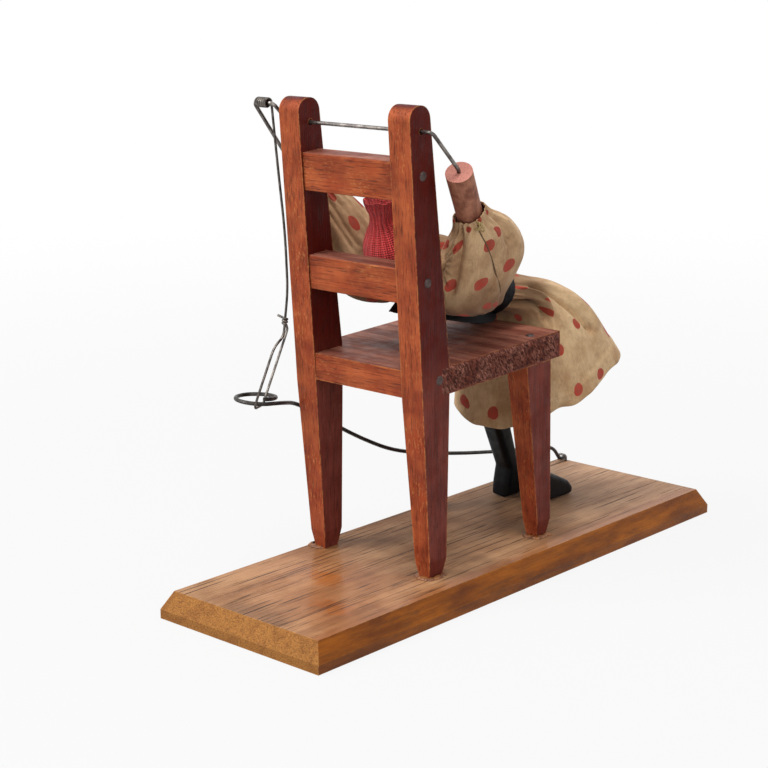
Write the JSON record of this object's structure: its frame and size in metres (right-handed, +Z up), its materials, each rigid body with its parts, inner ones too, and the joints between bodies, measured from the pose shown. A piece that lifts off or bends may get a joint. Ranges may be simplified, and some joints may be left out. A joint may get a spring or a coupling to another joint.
{
  "type": "crank automaton",
  "caption": "Wooden chair on a board with a wire crank across its back: a lever under the seat swings a jointed doll in a dotted dress over the crank.",
  "frame": {"origin": "centre of the underside of the base board", "axes": "+Z up; +Y along the board, the way the chair faces; +X to the right of a sitter in the chair"},
  "size_m": [0.1129, 0.3, 0.2305],
  "materials": {
    "base_wood": "worn varnish",
    "chair_wood": "rubbed red stain",
    "nail_iron": "dull",
    "crank_steel": "aged",
    "rod_steel": "aged",
    "lever_black": "satin, worn",
    "arm_wood": "bare, handled",
    "doll_wood": "bare",
    "head_cloth": "matt",
    "cap_knit": "knitted",
    "cotton": "printed, stained",
    "ribbon": "satin",
    "thread": "twisted",
    "leg_black": "black paint, half gloss"
  },
  "bodies": {
    "stand": {"base_board": "base_wood", "rear_post_left": "chair_wood", "rear_post_right": "chair_wood", "front_leg_left": "chair_wood", "front_leg_right": "chair_wood", "seat_board": "chair_wood", "top_rail": "chair_wood", "middle_rail": "chair_wood", "top_rail_nails": "nail_iron", "middle_rail_nails": "nail_iron", "seat_nails": "nail_iron", "front_leg_nails": "nail_iron", "lever_staple": "crank_steel"},
    "crank": {"crank_wire": "crank_steel", "arm_left": "arm_wood", "arm_right": "arm_wood", "sleeve_left": "cotton", "sleeve_right": "cotton", "cuff_threads": "thread"},
    "con_rod": {"con_rod": "rod_steel"},
    "lever": {"lever_wire": "lever_black"},
    "doll": {"torso": "doll_wood", "neck_peg": "doll_wood", "head": "head_cloth", "cap": "cap_knit", "cap_tassel": "cap_knit", "cap_tie": "thread", "shoulder_pin": "nail_iron", "hip_pin": "nail_iron", "bodice": "cotton", "skirt_lap": "cotton", "skirt": "cotton", "waistband": "ribbon"},
    "leg_left": {"leg_left": "leg_black"},
    "leg_right": {"leg_right": "leg_black"}
  },
  "joints": [
    {"name": "crank_swing", "type": "hinge", "parent": "stand", "child": "crank", "pos_m": [-0.0065, -0.0654, 0.2192], "axis": [1, 0, 0], "range_deg": [0, 133]},
    {"name": "con_rod_swing", "type": "hinge", "parent": "crank", "child": "con_rod", "pos_m": [-0.0065, -0.07451, 0.22761], "axis": [1, 0, 0], "range_deg": [-140, 0]},
    {"name": "lever_press", "type": "hinge", "parent": "stand", "child": "lever", "pos_m": [-0.0065, 0.143, 0.01435], "axis": [1, 0, 0], "range_deg": [0, 4.6], "stiffness_Nm_per_rad": 2},
    {"name": "shoulder_swing", "type": "hinge", "parent": "crank", "child": "doll", "pos_m": [-0.0065, -0.0126, 0.1525], "axis": [1, 0, 0], "range_deg": [0, 14]},
    {"name": "left_hip_swing", "type": "hinge", "parent": "doll", "child": "leg_left", "pos_m": [-0.0065, 0.04793, 0.12152], "axis": [1, 0, 0], "range_deg": [0, 35]},
    {"name": "right_hip_swing", "type": "hinge", "parent": "doll", "child": "leg_right", "pos_m": [-0.0065, 0.04793, 0.12152], "axis": [1, 0, 0], "range_deg": [0, 35]}
  ],
  "couplings": [
    {"joint": "con_rod_swing", "follows": "crank_swing", "ratio": -1.0455},
    {"joint": "lever_press", "follows": "crank_swing", "ratio": 0.0332}
  ]
}
